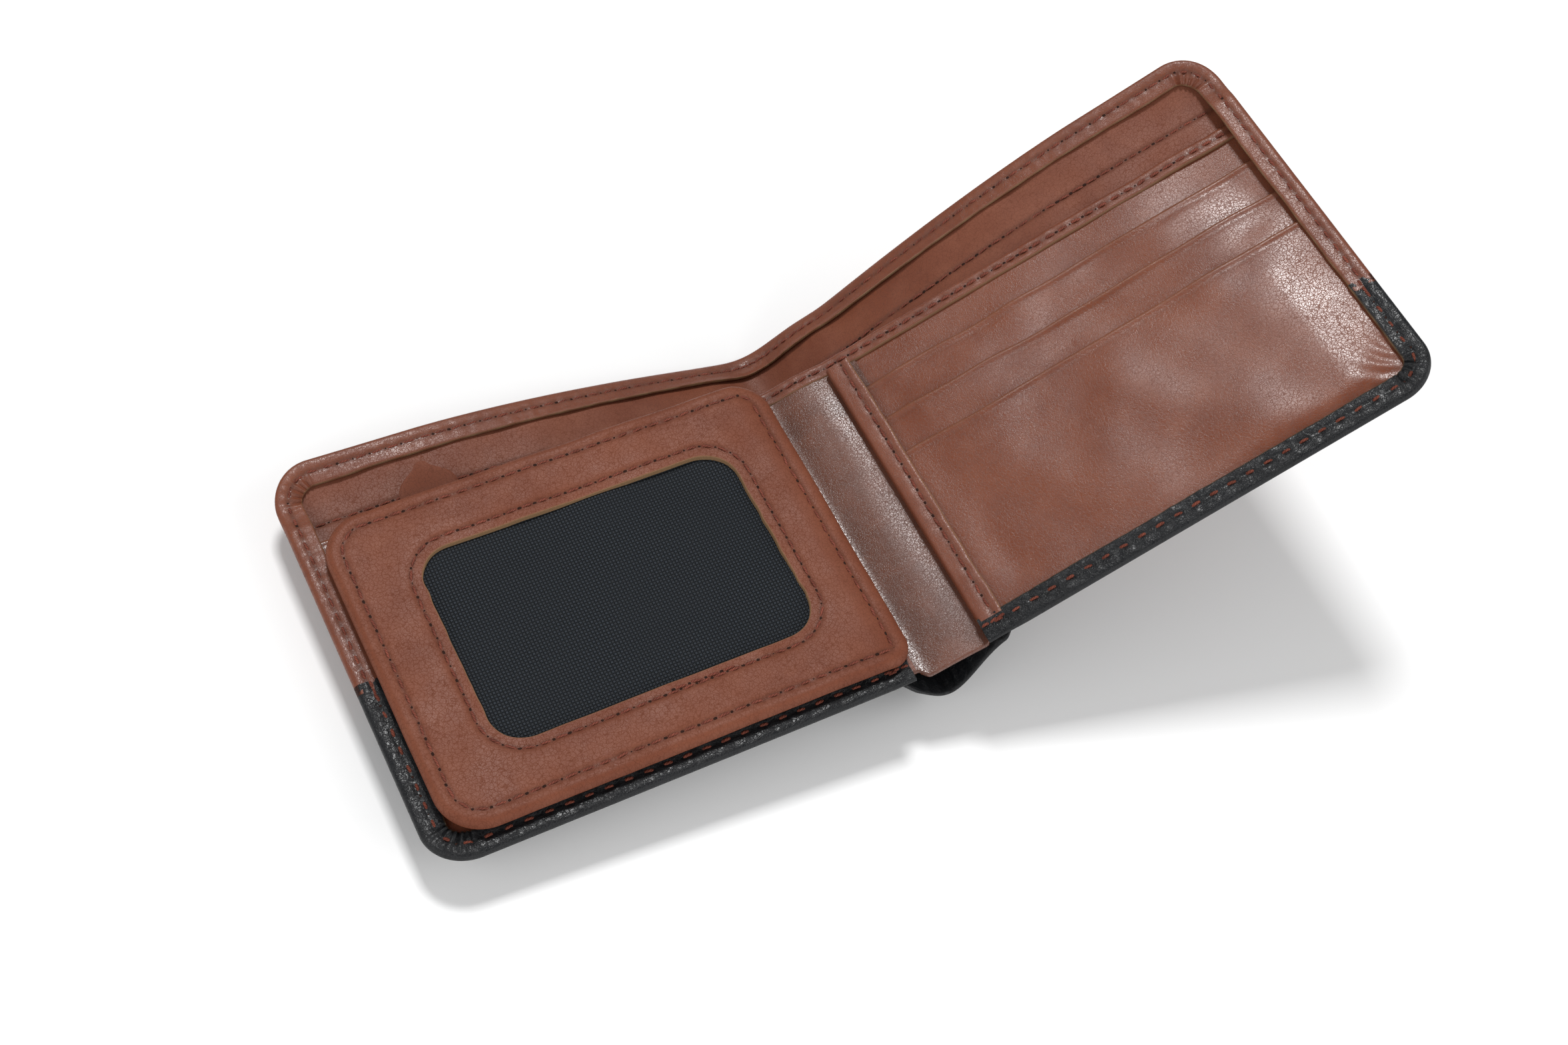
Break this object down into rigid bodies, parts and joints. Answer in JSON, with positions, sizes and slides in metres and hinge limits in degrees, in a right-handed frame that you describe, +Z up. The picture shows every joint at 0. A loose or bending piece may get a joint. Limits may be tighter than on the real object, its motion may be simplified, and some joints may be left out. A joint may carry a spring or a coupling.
{
  "type": "bifold wallet",
  "caption": "Open two-tone leather bifold wallet with card slots, a windowed card flap, a bill compartment and a folding spine.",
  "frame": {"origin": "middle of the open wallet's footprint, on the surface it lies on", "axes": "+X across the open wallet from the flap half to the card-slot half, +Y towards the bill opening, +Z up"},
  "size_m": [0.203, 0.091, 0.0682],
  "materials": {
    "brown_leather": "semi-gloss grained",
    "dark_leather": "glossy fine grain",
    "black_leather": "satin pebbled",
    "lining_leather": "matt",
    "fabric": "matt",
    "mesh_fabric": "woven matt",
    "thread": "twisted, matt"
  },
  "bodies": {
    "left_half": {"cover_lower_left": "black_leather", "cover_upper_left": "brown_leather", "divider_band_left": "brown_leather", "divider_left": "brown_leather", "facing_thread_left": "thread", "flap_hinge_strip": "brown_leather", "hem_black_left": "black_leather", "hem_black_thread_left": "thread", "hem_brown_left": "brown_leather", "hem_brown_thread_left": "thread", "left_pocket_tab": "lining_leather", "left_slip_pocket": "brown_leather", "lining_facing_left": "lining_leather", "lining_left": "fabric"},
    "spine": {"cover_lower_spine": "black_leather", "cover_upper_spine": "brown_leather", "divider_band_spine": "brown_leather", "divider_spine": "dark_leather", "hem_brown_spine": "brown_leather", "lining_facing_spine": "lining_leather", "lining_spine": "fabric"},
    "right_half": {"binding_strip": "brown_leather", "binding_thread": "thread", "card_pocket_front": "brown_leather", "card_slot_1": "brown_leather", "card_slot_2": "brown_leather", "cover_lower_right": "black_leather", "cover_upper_right": "brown_leather", "divider_band_right": "brown_leather", "divider_band_thread": "thread", "divider_right": "brown_leather", "facing_thread_right": "thread", "hem_black_right": "black_leather", "hem_black_thread_right": "thread", "hem_brown_right": "brown_leather", "hem_brown_thread_right": "thread", "lining_facing_right": "lining_leather", "lining_right": "fabric"},
    "id_flap": {"flap_back": "lining_leather", "flap_edge_thread": "thread", "flap_frame": "brown_leather", "flap_window_mesh": "mesh_fabric", "flap_window_thread": "thread"}
  },
  "joints": [
    {"name": "left_fold", "type": "hinge", "parent": "left_half", "child": "spine", "pos_m": [-0.00148, -0.0455, 0.01453], "axis": [0, 1, 0], "range_deg": [-78.7, 11.3], "deforming": ["cover_lower_spine", "cover_upper_spine", "divider_band_spine", "divider_spine", "hem_brown_spine", "lining_facing_spine", "lining_spine"]},
    {"name": "right_fold", "type": "hinge", "parent": "spine", "child": "right_half", "pos_m": [0.01163, -0.0455, 0.01971], "axis": [0, 1, 0], "range_deg": [-78.7, 11.3]},
    {"name": "flap_turn", "type": "hinge", "parent": "left_half", "child": "id_flap", "pos_m": [-0.00375, -0.0455, 0.01792], "axis": [0, 1, 0], "range_deg": [0, 140]}
  ],
  "couplings": [
    {"joint": "right_fold", "follows": "left_fold", "ratio": 1}
  ]
}
